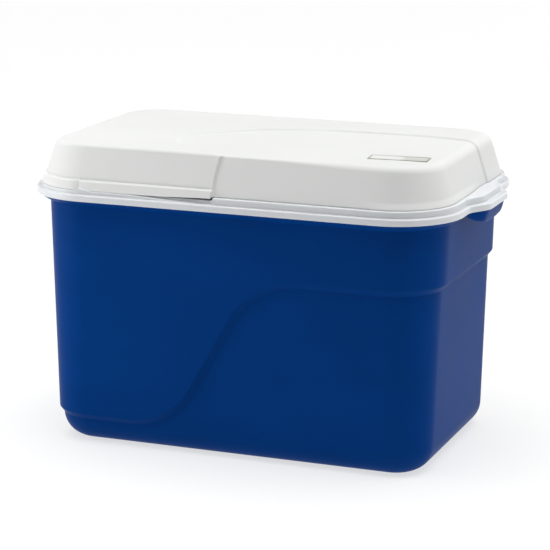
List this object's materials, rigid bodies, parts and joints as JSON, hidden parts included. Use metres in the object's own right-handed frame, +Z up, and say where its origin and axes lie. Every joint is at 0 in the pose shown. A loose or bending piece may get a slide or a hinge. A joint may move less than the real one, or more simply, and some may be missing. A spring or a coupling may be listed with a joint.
{
  "type": "cooler chest",
  "caption": "Insulated cooler chest with a tapered moulded tub, white liner with grip flange, and a rear-hinged lid.",
  "frame": {"origin": "on the floor, in the middle of the tub's plan", "axes": "+X along the chest to its right end, +Y to the hinge side, +Z up"},
  "size_m": [0.6428, 0.4058, 0.4218],
  "materials": {
    "shell_blue": "fine satin moulded blue",
    "liner_white": "natural bluish white, slightly translucent",
    "lid_white": "fine matt grain",
    "badge": "satin grey",
    "hinge_white": "satin white",
    "foam": "closed-cell foam",
    "steel": "stainless"
  },
  "bodies": {
    "tub": {"outer_shell": "shell_blue", "body_foam": "foam", "inner_liner": "liner_white", "hinge_body_leaf_left": "hinge_white", "hinge_pin_left": "steel", "body_screw_left_1": "steel", "body_screw_left_2": "steel", "hinge_body_leaf_right": "hinge_white", "hinge_pin_right": "steel", "body_screw_right_1": "steel", "body_screw_right_2": "steel"},
    "lid": {"lid_cover": "lid_white", "lid_liner": "liner_white", "lid_foam": "foam", "lid_badge": "badge", "hinge_lid_leaf_left": "hinge_white", "lid_screw_left_1": "steel", "lid_screw_left_2": "steel", "hinge_lid_leaf_right": "hinge_white", "lid_screw_right_1": "steel", "lid_screw_right_2": "steel"}
  },
  "joints": [
    {"name": "lid_hinge", "type": "hinge", "parent": "tub", "child": "lid", "pos_m": [0, 0.20391, 0.369], "axis": [-1, 0, 0], "range_deg": [0, 105]}
  ]
}
